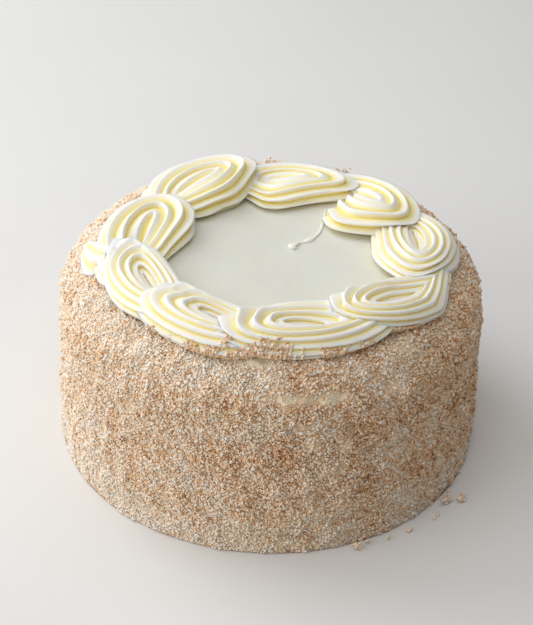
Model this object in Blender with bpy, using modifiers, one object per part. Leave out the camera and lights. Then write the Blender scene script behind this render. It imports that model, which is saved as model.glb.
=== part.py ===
"""A whole vanilla cake: a tall round cake with a crumb coat, an iced top and a ring of piped scrolls.

Units are metres, +Z is up, and the origin is the middle of the flat base.
The cake is uncut, so it is one solid. The icing on top is a thin disc of its own, and each
piped scroll of the ring is a piece of its own, lying over the tail of the one piped before it.
"""

import math
from typing import NamedTuple

import bmesh
import bpy
import numpy as np
from mathutils import Matrix, Vector

# The cake: an eight inch tin, its coat of icing and its crumbs
FOOT_RADIUS = 0.1070
FOOT_HEIGHT = 0.0030
WALL_RADIUS_LOW = 0.1056
WALL_RADIUS_HIGH = 0.1043
TOP_HEIGHT = 0.1038
SHOULDER_DROP = 0.0280
SHOULDER_START = 0.0780
AROUND = 80
WALL_ROWS = 8
SHOULDER_ROWS = 6

# The crumb coat: the relief on the wall, and the largest crumbs
RELIEF_OUT = 0.0009
RELIEF_ALONG = 0.0018
CRUMBED_FROM_RADIUS = 0.0920
CRUMB_COUNT = 56
CRUMB_RADIUS = (0.0013, 0.0023)
CRUMB_STRETCH = (0.75, 1.15)
CRUMB_SUNK = 0.25
CRUMB_AT_FOOT = 0.40
CRUMB_AT_SHOULDER = 0.35
CRUMB_SHOULDER_TURN = (math.radians(48), math.radians(80))
SEED = 7

# The iced top: a thin disc sunk flush into the cake, with a dribbled thread on it
ICING_RADIUS = 0.0800
ICING_THICKNESS = 0.0016
THREAD_WIDTH = 0.0014
THREAD_LIFT = 0.00014
THREAD_ROUTE = ((0.0255, 0.0330), (0.0245, 0.0240), (0.0225, 0.0140), (0.0165, 0.0075), (0.0095, 0.0035))
BLOB_PLACE = (0.0080, -0.0005)
BLOB_RADIUS = 0.0026
BLOB_STRETCH = (0.8, 1.3, 0.5)

# Clearance between pieces that lie on each other, and how deep a cut runs on below a scroll
GAP = 0.0003
CUT_BELOW = 0.0040

# One leg of a scroll is half a rope, squeezed through a star nozzle
FLUTES_AROUND_ROPE = 10
FLUTE_DEPTH = 0.17
FIRST_RIDGE = math.radians(162)
FOOT_ANGLE = math.radians(-54)
AXIS_SHARE = 0.36
CREASE_SHARE = 0.46
TAIL_HEIGHT_SHARE = 0.55
TAIL_INWARD_SHARE = 0.62
TAIL_OUTWARD_SHARE = 0.88
TAIL_OVERHANG_SHARE = 0.80
LOOP_STEPS = 30


class Scroll(NamedTuple):
    """Where one scroll lies and how far it reaches, in degrees and metres."""

    head: float
    tail: float
    head_radius: float
    tail_radius: float
    inward: float
    outward: float
    ahead: float
    height: float


# Each scroll in the order of piping. The degrees run round the ring, anticlockwise from +X.
SCROLLS = (
    Scroll(350, 376, 0.0710, 0.0685, 0.0225, 0.0175, 0.0190, 0.0110),
    Scroll(389, 414, 0.0610, 0.0620, 0.0235, 0.0200, 0.0210, 0.0120),
    Scroll(429, 460, 0.0565, 0.0575, 0.0250, 0.0205, 0.0190, 0.0108),
    Scroll(474, 508, 0.0600, 0.0610, 0.0240, 0.0200, 0.0200, 0.0130),
    Scroll(526, 550, 0.0600, 0.0650, 0.0215, 0.0215, 0.0215, 0.0125),
    Scroll(564, 585, 0.0695, 0.0715, 0.0170, 0.0190, 0.0205, 0.0120),
    Scroll(602, 622, 0.0715, 0.0735, 0.0155, 0.0175, 0.0205, 0.0120),
    Scroll(638, 660, 0.0735, 0.0745, 0.0210, 0.0155, 0.0290, 0.0120),
    Scroll(672, 702, 0.0735, 0.0800, 0.0185, 0.0145, 0.0230, 0.0125),
)

CREAM = (0.93, 0.89, 0.70)
PALE_CREAM = (0.86, 0.84, 0.76)
CRUMB_TAN = (0.79, 0.60, 0.43)


def clear_scene():
    """Remove whatever the scene holds."""
    for obj in list(bpy.data.objects):
        bpy.data.objects.remove(obj, do_unlink=True)


def make_collection(name):
    """Return a new collection in the scene."""
    collection = bpy.data.collections.new(name)
    bpy.context.scene.collection.children.link(collection)
    return collection


def make_material(name, color, roughness):
    """Return a Principled material of one colour and roughness."""
    material = bpy.data.materials.new(name)
    material.use_nodes = True
    shader = material.node_tree.nodes["Principled BSDF"]
    shader.inputs["Base Color"].default_value = (*color, 1.0)
    shader.inputs["Roughness"].default_value = roughness
    shader.inputs["Metallic"].default_value = 0.0
    return material


def object_from_bmesh(name, bm, collection):
    """Write the bmesh to a new object in the collection."""
    mesh = bpy.data.meshes.new(name)
    bm.to_mesh(mesh)
    bm.free()
    obj = bpy.data.objects.new(name, mesh)
    collection.objects.link(obj)
    return obj


def mesh_copy(obj, name, collection):
    """Return the evaluated shape of an object as a mesh object, and remove the original."""
    graph = bpy.context.evaluated_depsgraph_get()
    mesh = bpy.data.meshes.new_from_object(obj.evaluated_get(graph))
    copy = bpy.data.objects.new(name, mesh)
    copy.matrix_world = obj.matrix_world
    collection.objects.link(copy)
    bpy.data.objects.remove(obj, do_unlink=True)
    return copy


def finish(obj, material, sharp_degrees=40):
    """Give an object its material and smooth shading, sharp where the faces turn a corner."""
    obj.data.materials.clear()
    obj.data.materials.append(material)
    obj.data.shade_smooth()
    obj.data.set_sharp_from_angle(angle=math.radians(sharp_degrees))


def crown_height(radius):
    """Height of the cake's outside over a given radius: flat, then an elliptical shoulder."""
    span = WALL_RADIUS_HIGH - SHOULDER_START
    share = np.clip((np.asarray(radius) - SHOULDER_START) / span, 0.0, 1.0)
    return TOP_HEIGHT - SHOULDER_DROP * (1.0 - np.sqrt(1.0 - share**2))


def turned(name, profile, collection, steps=AROUND):
    """Turn a profile of (radius, height) points, listed from top to bottom, round the Z axis."""
    bm = bmesh.new()
    points = [bm.verts.new((radius, 0.0, height)) for radius, height in profile]
    for first, second in zip(points, points[1:]):
        bm.edges.new((first, second))
    obj = object_from_bmesh(name + "_profile", bm, collection)
    screw = obj.modifiers.new("Turn", "SCREW")
    screw.steps = steps
    screw.render_steps = steps
    screw.use_merge_vertices = True
    screw.merge_threshold = 0.00002
    return mesh_copy(obj, name, collection)


def cake_profile():
    """Outline of the cake: the seat of the iced disc, the shoulder, the wall and the foot."""
    seat = TOP_HEIGHT - ICING_THICKNESS - 2 * GAP
    outline = [(0.0, seat), (ICING_RADIUS / 2, seat), (ICING_RADIUS + GAP, seat)]
    outline.append((ICING_RADIUS + GAP, float(crown_height(ICING_RADIUS + GAP))))
    span = WALL_RADIUS_HIGH - SHOULDER_START
    first = math.asin((ICING_RADIUS + GAP - SHOULDER_START) / span)
    for row in range(1, SHOULDER_ROWS + 1):
        angle = first + (math.pi / 2 - first) * row / SHOULDER_ROWS
        radius = SHOULDER_START + span * math.sin(angle)
        outline.append((radius, TOP_HEIGHT - SHOULDER_DROP * (1 - math.cos(angle))))
    top = TOP_HEIGHT - SHOULDER_DROP
    bottom = 2 * FOOT_HEIGHT
    for row in range(1, WALL_ROWS + 1):
        share = row / WALL_ROWS
        radius = WALL_RADIUS_HIGH + (WALL_RADIUS_LOW - WALL_RADIUS_HIGH) * share
        outline.append((radius, top + (bottom - top) * share))
    outline += [(FOOT_RADIUS, FOOT_HEIGHT), (FOOT_RADIUS - 2 * GAP, 0.0), (0.0, 0.0)]
    return outline


def rough_wall(obj):
    """Push the points of the shoulder and wall in and out a little, and along the wall, by a seeded draw."""
    rng = np.random.default_rng(SEED)
    mesh = obj.data
    points = np.empty(len(mesh.vertices) * 3, np.float32)
    mesh.vertices.foreach_get("co", points)
    points = points.reshape(-1, 3).astype(float)
    radius = np.hypot(points[:, 0], points[:, 1])
    crumbed = (radius > CRUMBED_FROM_RADIUS) & (points[:, 2] > FOOT_HEIGHT + GAP)
    draws = rng.uniform(-1.0, 1.0, (len(points), 3))
    outward = points[:, :2] / np.maximum(radius, 1e-9)[:, None]
    sideways = np.stack([-outward[:, 1], outward[:, 0]], axis=1)
    on_wall = crumbed & (points[:, 2] < TOP_HEIGHT - SHOULDER_DROP)
    points[crumbed, :2] += outward[crumbed] * (RELIEF_OUT * draws[crumbed, :1])
    points[crumbed, :2] += sideways[crumbed] * (RELIEF_ALONG * draws[crumbed, 1:2])
    points[on_wall, 2] += RELIEF_ALONG * draws[on_wall, 2]
    mesh.vertices.foreach_set("co", points.astype(np.float32).ravel())
    mesh.update()


def crumb_place(rng):
    """Draw one crumb's place: at the foot, on the shoulder or anywhere on the wall."""
    pick = rng.uniform()
    angle = rng.uniform(0.0, 2 * math.pi)
    if pick < CRUMB_AT_FOOT:
        height = rng.uniform(2 * FOOT_HEIGHT, 4 * FOOT_HEIGHT)
    elif pick < CRUMB_AT_FOOT + CRUMB_AT_SHOULDER:
        turn = rng.uniform(*CRUMB_SHOULDER_TURN)
        radius = SHOULDER_START + (WALL_RADIUS_HIGH - SHOULDER_START) * math.sin(turn)
        return angle, radius, float(crown_height(radius))
    else:
        height = rng.uniform(4 * FOOT_HEIGHT, TOP_HEIGHT - SHOULDER_DROP)
    share = 1.0 - height / (TOP_HEIGHT - SHOULDER_DROP)
    radius = WALL_RADIUS_HIGH + (WALL_RADIUS_LOW - WALL_RADIUS_HIGH) * share
    return angle, radius, height


def crumb(index, rng, collection):
    """One large crumb: a small stretched icosahedron half sunk in the coat."""
    angle, radius, height = crumb_place(rng)
    size = rng.uniform(*CRUMB_RADIUS)
    radius = min(radius - CRUMB_SUNK * size, FOOT_RADIUS - CRUMB_STRETCH[1] * size)
    bm = bmesh.new()
    bmesh.ops.create_icosphere(bm, subdivisions=1, radius=size)
    stretch = Matrix.Diagonal((*rng.uniform(*CRUMB_STRETCH, 3), 1.0))
    turn = Matrix.Rotation(rng.uniform(0.0, math.pi), 4, Vector(rng.uniform(-1.0, 1.0, 3)).normalized())
    place = Matrix.Translation((radius * math.cos(angle), radius * math.sin(angle), height))
    bm.transform(place @ turn @ stretch)
    return object_from_bmesh(f"crumb_{index}", bm, collection)


def fuse(obj, collection):
    """Join every object of the collection to this one by a Boolean union, and remove them."""
    union = obj.modifiers.new("Fuse", "BOOLEAN")
    union.operation = "UNION"
    union.operand_type = "COLLECTION"
    union.collection = collection
    union.solver = "MANIFOLD"
    graph = bpy.context.evaluated_depsgraph_get()
    mesh = bpy.data.meshes.new_from_object(obj.evaluated_get(graph))
    obj.modifiers.clear()
    obj.data = mesh
    for part in list(collection.objects):
        bpy.data.objects.remove(part, do_unlink=True)
    bpy.data.collections.remove(collection)


def make_cake(parts):
    """The whole cake with its crumb coat fused on."""
    cake = turned("cake_body", cake_profile(), parts)
    rough_wall(cake)
    rng = np.random.default_rng(SEED + 1)
    crumbs = make_collection("crumbs")
    for index in range(CRUMB_COUNT):
        crumb(index, rng, crumbs)
    fuse(cake, crumbs)
    finish(cake, make_material("crumb_coat", CRUMB_TAN, 0.85), sharp_degrees=25)
    return cake


def make_thread(collection):
    """The dribbled thread of icing: a thin bevelled curve that lies half sunk along its route."""
    curve = bpy.data.curves.new("thread", "CURVE")
    curve.dimensions = "3D"
    curve.bevel_depth = THREAD_WIDTH / 2
    curve.bevel_resolution = 1
    curve.resolution_u = 3
    curve.use_fill_caps = True
    spline = curve.splines.new("BEZIER")
    spline.bezier_points.add(len(THREAD_ROUTE) - 1)
    for point, (x, y) in zip(spline.bezier_points, THREAD_ROUTE):
        point.co = (x, y, TOP_HEIGHT + THREAD_LIFT)
        point.handle_left_type = "AUTO"
        point.handle_right_type = "AUTO"
    guide = bpy.data.objects.new("thread_curve", curve)
    collection.objects.link(guide)
    thread = mesh_copy(guide, "thread", collection)
    bm = bmesh.new()
    bm.from_mesh(thread.data)
    bmesh.ops.remove_doubles(bm, verts=bm.verts, dist=1e-6)
    bmesh.ops.recalc_face_normals(bm, faces=bm.faces)
    bm.to_mesh(thread.data)
    bm.free()
    return thread


def make_blob(collection):
    """The small blob where the thread ends."""
    bm = bmesh.new()
    bmesh.ops.create_icosphere(bm, subdivisions=2, radius=BLOB_RADIUS)
    bm.transform(Matrix.Translation((*BLOB_PLACE, TOP_HEIGHT)) @ Matrix.Diagonal((*BLOB_STRETCH, 1.0)))
    return object_from_bmesh("blob", bm, collection)


def make_icing_top(parts):
    """The thin disc of icing on top, with the thread and its blob fused on."""
    low = TOP_HEIGHT - ICING_THICKNESS - GAP
    rim = float(crown_height(ICING_RADIUS))
    profile = [(0.0, TOP_HEIGHT), (SHOULDER_START / 2, TOP_HEIGHT), (SHOULDER_START, TOP_HEIGHT)]
    profile += [(ICING_RADIUS, rim), (ICING_RADIUS, low), (0.0, low)]
    disc = turned("icing_top", profile, parts, steps=48)
    dribble = make_collection("dribble")
    make_thread(dribble)
    make_blob(dribble)
    fuse(disc, dribble)
    finish(disc, make_material("icing_smooth", PALE_CREAM, 0.45))
    return disc


def rope_section():
    """Section of one leg, from the crease over the crest to the foot, as shares of width and height.

    The rope's edge is an ellipse about (0.5, AXIS_SHARE). Its radius dips between ridges by the
    absolute sine of the flute angle, which leaves sharp ridges and round valleys. The third array
    is the angle round the rope, which is also the way the section grows.
    """
    half_flute = math.pi / FLUTES_AROUND_ROPE
    count = int(round((FIRST_RIDGE - FOOT_ANGLE) / half_flute)) + 1
    angle = FIRST_RIDGE - half_flute * np.arange(count)
    dip = 1.0 - FLUTE_DEPTH * np.abs(np.sin(FLUTES_AROUND_ROPE * (angle - FIRST_RIDGE) / 2))
    across = 0.5 + 0.5 * dip * np.cos(angle)
    reach = np.where(angle > 0, 1.0 - AXIS_SHARE, AXIS_SHARE / abs(math.sin(FOOT_ANGLE)))
    up = AXIS_SHARE + reach * dip * np.sin(angle)
    up[-1] = 0.0
    return np.append(0.0, across), np.append(CREASE_SHARE, up), np.append(math.pi / 2, angle)


def bent_round_ring(scroll, along, outward, half_length):
    """Bend flat scroll coordinates round the ring: along runs anticlockwise, outward is radial."""
    share = np.clip(0.5 + 0.5 * along / half_length, -0.5, 1.5)
    radius = scroll.head_radius + (scroll.tail_radius - scroll.head_radius) * share + outward
    middle = math.radians((scroll.head + scroll.tail) / 2)
    return radius, middle + along / (0.5 * (scroll.head_radius + scroll.tail_radius))


def scroll_points(scroll, grow, sink):
    """Rows of points round one scroll, from its crease over the ridges, down and back underneath.

    The loop angle u runs once round a slit. The slit point lies at half_length * cos u along the
    ring, and the rope's section reaches from it along (overhang cos u, width sin u), so every ridge
    is a long pointed U round the curl centre. Width, overhang and height ease towards the tail.
    """
    mean_radius = (scroll.head_radius + scroll.tail_radius) / 2
    half_length = math.radians(scroll.tail - scroll.head) / 2 * mean_radius
    u = 2 * math.pi * np.arange(LOOP_STEPS) / LOOP_STEPS
    to_tail = 0.5 + 0.5 * np.cos(u)
    inner = np.sin(u) < 0
    taper = np.where(inner, TAIL_INWARD_SHARE, TAIL_OUTWARD_SHARE)
    width = np.where(inner, scroll.inward, scroll.outward) * (1 - (1 - taper) * to_tail)
    overhang = scroll.ahead * (1 - (1 - TAIL_OVERHANG_SHARE) * to_tail)
    rise = scroll.height * (1 - (1 - TAIL_HEIGHT_SHARE) * to_tail**1.5)
    across, up, turn = rope_section()
    outward_growth = grow * np.cos(turn) / width.mean()
    rows = (across + outward_growth)[:, None]
    z_rows = up[:, None] * rise[None, :] + grow * np.sin(turn)[:, None]
    z_rows[-1] = -sink
    rows = np.concatenate([rows, rows[-1:] / 2, np.zeros((1, 1))])
    z_rows = np.concatenate([z_rows, np.full((2, LOOP_STEPS), -sink)])
    slit = half_length * np.cos(u)
    along = slit[None, :] + rows * (overhang * np.cos(u))[None, :]
    side = rows * (width * np.sin(u))[None, :]
    radius, angle = bent_round_ring(scroll, along, side, half_length)
    z = crown_height(radius) + GAP + z_rows
    return np.stack([radius * np.cos(angle), radius * np.sin(angle), z], axis=-1)


def scroll_mesh(name, scroll, collection, grow=0.0, sink=0.0):
    """Loft the rows of a scroll into one closed mesh; the two legs share the crease and the keel."""
    grid = scroll_points(scroll, grow, sink)
    bm = bmesh.new()
    rows = [[bm.verts.new(point) for point in row] for row in grid]
    for upper, lower in zip(rows, rows[1:]):
        for here in range(LOOP_STEPS):
            after = (here + 1) % LOOP_STEPS
            bm.faces.new((upper[here], lower[here], lower[after], upper[after]))
    bmesh.ops.remove_doubles(bm, verts=bm.verts, dist=1e-6)
    bmesh.ops.triangulate(bm, faces=bm.faces)
    bmesh.ops.recalc_face_normals(bm, faces=bm.faces)
    return object_from_bmesh(name, bm, collection)


def keep_largest_island(bm):
    """Delete all but the largest connected piece of a mesh."""
    left = set(bm.verts)
    islands = []
    while left:
        island = {left.pop()}
        edge_of_search = list(island)
        while edge_of_search:
            vert = edge_of_search.pop()
            for edge in vert.link_edges:
                other = edge.other_vert(vert)
                if other in left:
                    left.remove(other)
                    island.add(other)
                    edge_of_search.append(other)
        islands.append(island)
    islands.sort(key=len)
    for island in islands[:-1]:
        bmesh.ops.delete(bm, geom=list(island), context="VERTS")


def cut(obj, cutter):
    """Take the cutter out of the object, and keep the largest piece of what is left."""
    difference = obj.modifiers.new("Covered", "BOOLEAN")
    difference.operation = "DIFFERENCE"
    difference.object = cutter
    graph = bpy.context.evaluated_depsgraph_get()
    mesh = bpy.data.meshes.new_from_object(obj.evaluated_get(graph))
    obj.modifiers.clear()
    obj.data = mesh
    bm = bmesh.new()
    bm.from_mesh(mesh)
    keep_largest_island(bm)
    bm.to_mesh(mesh)
    bm.free()


def make_scrolls(parts):
    """The ring of piped scrolls, each cut away where one piped later lies over it."""
    cream = make_material("icing_piped", CREAM, 0.40)
    made = [scroll_mesh(f"icing_scroll_{i + 1}", row, parts) for i, row in enumerate(SCROLLS)]
    covered = [(i, i + 1) for i in range(len(SCROLLS) - 1)]
    covered.append((0, len(SCROLLS) - 1))
    cutters = make_collection("cutters")
    for under, over in covered:
        cutter = scroll_mesh(f"over_{over}", SCROLLS[over], cutters, grow=GAP, sink=CUT_BELOW)
        cut(made[under], cutter)
        bpy.data.objects.remove(cutter, do_unlink=True)
    bpy.data.collections.remove(cutters)
    for scroll in made:
        finish(scroll, cream, sharp_degrees=30)
    return made


def main():
    """Build the cake from the base up."""
    clear_scene()
    parts = make_collection("vanilla_cake")
    make_cake(parts)
    make_icing_top(parts)
    make_scrolls(parts)


main()
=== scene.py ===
"""Looks of the whole vanilla cake: piped and spread icing, and a coat of real crumbs.

Units are metres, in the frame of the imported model: +Z is up and the cake's axis is the Z axis.
Every shape is worked out with numpy as a whole array and put into a mesh in one go.
"""

import logging
import math
from dataclasses import dataclass, replace
from enum import Enum

import bpy
import numpy as np
from mathutils import Matrix, Vector

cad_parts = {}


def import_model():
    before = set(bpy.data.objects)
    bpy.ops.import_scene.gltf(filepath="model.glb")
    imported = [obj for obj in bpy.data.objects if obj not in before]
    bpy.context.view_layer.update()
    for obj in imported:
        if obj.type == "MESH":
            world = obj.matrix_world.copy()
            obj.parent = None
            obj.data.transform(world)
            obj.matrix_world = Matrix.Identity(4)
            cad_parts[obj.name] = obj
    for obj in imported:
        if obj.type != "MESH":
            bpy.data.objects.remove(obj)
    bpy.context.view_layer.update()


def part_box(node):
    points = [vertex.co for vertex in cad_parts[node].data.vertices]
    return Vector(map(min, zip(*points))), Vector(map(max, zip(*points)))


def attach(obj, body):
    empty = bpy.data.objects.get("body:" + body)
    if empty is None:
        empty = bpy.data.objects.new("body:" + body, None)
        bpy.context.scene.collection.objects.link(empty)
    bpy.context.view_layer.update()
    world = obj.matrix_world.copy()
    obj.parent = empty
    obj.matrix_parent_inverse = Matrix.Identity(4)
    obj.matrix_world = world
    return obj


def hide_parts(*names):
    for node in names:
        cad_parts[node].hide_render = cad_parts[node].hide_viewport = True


LOG = logging.getLogger("vanilla_cake")
BODY = "root"
MM = 0.001
TURN = 2.0 * math.pi
CRUMB_REACH = 1.4 * MM

Array = np.ndarray
Random = np.random.Generator
Color = tuple[float, float, float]
Triple = tuple[float, float, float]
Span = tuple[float, float]
Material = bpy.types.Material
Node = bpy.types.Node
Socket = bpy.types.NodeSocket
Sockets = bpy.types.bpy_prop_collection
Tree = bpy.types.NodeTree


# ---- arrays into meshes


def wavy(points: Array, wavelength: float, seed: int, waves: int = 14) -> Array:
    """Smooth seeded unevenness: the sum of plane waves in random directions, of about unit size.

    Args:
        points: the places, with x, y and z along the last axis.
        wavelength: the usual distance between two swells.
        seed: the draw.
        waves: how many plane waves are added.

    Returns:
        One value for each place.
    """
    rng = np.random.default_rng(seed)
    direction = rng.normal(size=(waves, 3))
    direction /= np.linalg.norm(direction, axis=1)[:, None]
    number = TURN * rng.uniform(0.7, 1.4, waves) / wavelength
    phase = rng.uniform(0.0, TURN, waves)
    return np.sin(points @ (direction * number[:, None]).T + phase).sum(axis=-1) * math.sqrt(2.0 / waves)


def whole_turn(steps: int) -> Array:
    """Angles evenly round a circle, the last one a step short of it."""
    return TURN * np.arange(steps) / steps


def round_axis(radius: Array, angle: Array, height: Array) -> Array:
    """Points round the Z axis: (radius * cos angle, radius * sin angle, height)."""
    return np.stack(np.broadcast_arrays(radius * np.cos(angle), radius * np.sin(angle), height), axis=-1)


def beside(line: Array, out: Array) -> Array:
    """Points of the XY plane beside a line: each of its points, moved along its left normal.

    Args:
        line: points of the plane, one row each.
        out: how far to the left the points of each row lie.

    Returns:
        A grid of points of the plane, rows by columns.
    """
    forward = np.gradient(line, axis=0)
    forward /= np.linalg.norm(forward, axis=1)[:, None]
    left = np.stack([-forward[:, 1], forward[:, 0]], axis=1)
    return line[:, None, :] + out[:, :, None] * left[:, None, :]


def ring_faces(rows: int, columns: int) -> Array:
    """Triangles of a grid whose columns close into a ring, row 0 being the upper row.

    Args:
        rows: how many rows of points.
        columns: how many points round each row.

    Returns:
        Vertex numbers, three to a triangle.
    """
    here = np.arange(columns)
    after = (here + 1) % columns
    upper = (np.arange(rows - 1) * columns)[:, None]
    lower = upper + columns
    first = np.stack([upper + here, lower + here, lower + after], axis=-1)
    second = np.stack([upper + here, lower + after, upper + after], axis=-1)
    return np.concatenate([first.reshape(-1, 3), second.reshape(-1, 3)])


def capped_faces(rows: int, columns: int) -> Array:
    """Triangles of a ring grid and of its caps, whose upper and lower middles follow its points.

    Args:
        rows: how many rows of points.
        columns: how many points round each row.

    Returns:
        Vertex numbers, three to a triangle.
    """
    here = np.arange(columns)
    after = (here + 1) % columns
    middle = np.full(columns, rows * columns)
    last = (rows - 1) * columns
    upper = np.stack([middle, here, after], axis=-1)
    lower = np.stack([middle + 1, last + after, last + here], axis=-1)
    return np.concatenate([ring_faces(rows, columns), upper, lower])


def closed_faces(rows: int, columns: int, folded: bool = False) -> Array:
    """Triangles of a ring grid that its first and last rows close.

    Args:
        rows: how many rows of points.
        columns: how many points round each row.
        folded: whether those two rows close side to side, and not to one point.

    Returns:
        Vertex numbers, three to a triangle.
    """
    row, column = np.divmod(ring_faces(rows, columns), columns)
    closed = np.minimum(column, columns - column) if folded else 0
    return row * columns + np.where((row == 0) | (row == rows - 1), closed, column)


def mesh_piece(
    name: str, points: Array, faces: Array, material: Material, values: dict[str, Array] | None = None
) -> bpy.types.Object:
    """Put whole arrays into a smooth mesh object that stands at the origin.

    Args:
        name: the piece's name.
        points: the vertices, with x, y and z along the last axis.
        faces: three vertex numbers for each triangle; those with two alike are left out.
        material: what it is dressed in.
        values: numbers or vectors for each vertex, by attribute name.

    Returns:
        The new object, linked to the scene.
    """
    used, faces = np.unique(faces, return_inverse=True)
    faces = faces.reshape(-1, 3)
    corners = np.sort(faces, axis=1)
    faces = faces[(corners[:, 0] != corners[:, 1]) & (corners[:, 1] != corners[:, 2])]
    mesh = bpy.data.meshes.new(name)
    mesh.vertices.add(len(used))
    mesh.vertices.foreach_set("co", points.reshape(-1, 3)[used].astype(np.float32).ravel())
    mesh.loops.add(faces.size)
    mesh.loops.foreach_set("vertex_index", faces.astype(np.int32).ravel())
    mesh.polygons.add(len(faces))
    mesh.polygons.foreach_set("loop_start", np.arange(0, faces.size, 3, dtype=np.int32))
    mesh.update(calc_edges=True)
    for key, value in (values or {}).items():
        kept = value[used].astype(np.float32)
        kind, slot = ("FLOAT", "value") if kept.ndim == 1 else ("FLOAT_VECTOR", "vector")
        mesh.attributes.new(key, kind, "POINT").data.foreach_set(slot, kept.ravel())
    mesh.shade_smooth()
    mesh.materials.append(material)
    obj = bpy.data.objects.new(name, mesh)
    bpy.context.scene.collection.objects.link(obj)
    return obj


def report(piece: bpy.types.Object) -> None:
    """Write one line on a finished piece."""
    LOG.info("%s: %d triangles", piece.name, len(piece.data.polygons))


# ---- materials


class Graph:
    """A node tree being built, with short calls for its nodes and links."""

    def __init__(self, tree: Tree) -> None:
        """Keep the tree."""
        self.tree = tree

    def feed(self, socket: Socket, value: object) -> None:
        """Link an input, or set its value.

        Args:
            socket: the input.
            value: an output, a colour or a plain value.
        """
        if isinstance(value, Socket):
            self.tree.links.new(value, socket)
        elif socket.type == "RGBA":
            socket.default_value = (*value, 1.0)
        else:
            socket.default_value = value

    def add(self, kind: str, feeds: dict[str | int, object], **settings: object) -> Node:
        """Add a node.

        Args:
            kind: its type.
            feeds: what goes into each input, by name or number.
            settings: the node's own settings.

        Returns:
            The node.
        """
        node = self.tree.nodes.new(kind)
        for key, value in settings.items():
            setattr(node, key, value)
        for key, value in feeds.items():
            self.feed(node.inputs[key], value)
        return node

    def math(self, operation: str, *values: object) -> Socket:
        """Return the result of a Math node."""
        return self.add("ShaderNodeMath", dict(enumerate(values)), operation=operation).outputs[0]

    def noise(self, place: Socket, scale: float, detail: float = 2.0, roughness: float = 0.5) -> Socket:
        """Return a noise value from 0 to 1, with a mean of one half."""
        feeds = {"Vector": place, "Scale": scale, "Detail": detail, "Roughness": roughness}
        return self.add("ShaderNodeTexNoise", feeds).outputs["Fac"]

    def cells(self, place: Socket, scale: float) -> Sockets:
        """Return each cell's random colour, and the distance to its middle in shares of its size."""
        return self.add("ShaderNodeTexVoronoi", {"Vector": place, "Scale": scale}, feature="F1").outputs

    def mix(self, share: Socket, first: object, second: object) -> Socket:
        """Return a colour between two, by a share from 0 to 1."""
        return self.add("ShaderNodeMix", {"Factor": share, 6: first, 7: second}, data_type="RGBA").outputs[2]

    def fit(self, value: Socket, low: Span, high: Span) -> Socket:
        """Return a value carried from one range to another, and held within it."""
        names = ("Value", "From Min", "From Max", "To Min", "To Max")
        return self.add("ShaderNodeMapRange", dict(zip(names, (value, *low, *high)))).outputs[0]

    def ramp(self, share: Socket, stops: tuple[tuple[float, Color], ...]) -> Socket:
        """Look a colour up on a ramp.

        Args:
            share: the place along the ramp, from 0 to 1.
            stops: the place and colour of each stop.

        Returns:
            The colour.
        """
        node = self.add("ShaderNodeValToRGB", {"Fac": share})
        bar = node.color_ramp
        for place, _ in stops[2:]:
            bar.elements.new(place)
        for element, (place, color) in zip(bar.elements, stops):
            element.position = place
            element.color = (*color, 1.0)
        return node.outputs["Color"]

    def bump(self, height: Socket, distance: float, under: Socket | None = None) -> Socket:
        """Return a normal that a height has tilted, over another normal where there is one."""
        more = {} if under is None else {"Normal": under}
        return self.add("ShaderNodeBump", {"Height": height, "Distance": distance, **more}).outputs["Normal"]

    def carried(self, name: str, output: str = "Fac") -> Socket:
        """Return a value or a vector that the mesh carries."""
        return self.add("ShaderNodeAttribute", {}, attribute_name=name).outputs[output]

    def group(self, tree: Tree, **values: object) -> Sockets:
        """Place a node group with these values and return its outputs."""
        return self.add("ShaderNodeGroup", values, node_tree=tree).outputs


VALUE = "NodeSocketFloat"
COLOR = "NodeSocketColor"
VECTOR = "NodeSocketVector"


def new_group(name: str, inputs: dict[str, str], outputs: dict[str, str]) -> tuple[Graph, Sockets, Sockets]:
    """Start a shader node group.

    Args:
        name: the group's name.
        inputs: the kind of socket for each input.
        outputs: the kind of socket for each output.

    Returns:
        The graph, what is given to it, and where its results go.
    """
    tree = bpy.data.node_groups.new(name, "ShaderNodeTree")
    for side, kinds in (("INPUT", inputs), ("OUTPUT", outputs)):
        for key, kind in kinds.items():
            tree.interface.new_socket(name=key, in_out=side, socket_type=kind)
    graph = Graph(tree)
    return graph, graph.add("NodeGroupInput", {}).outputs, graph.add("NodeGroupOutput", {}).inputs


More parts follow.
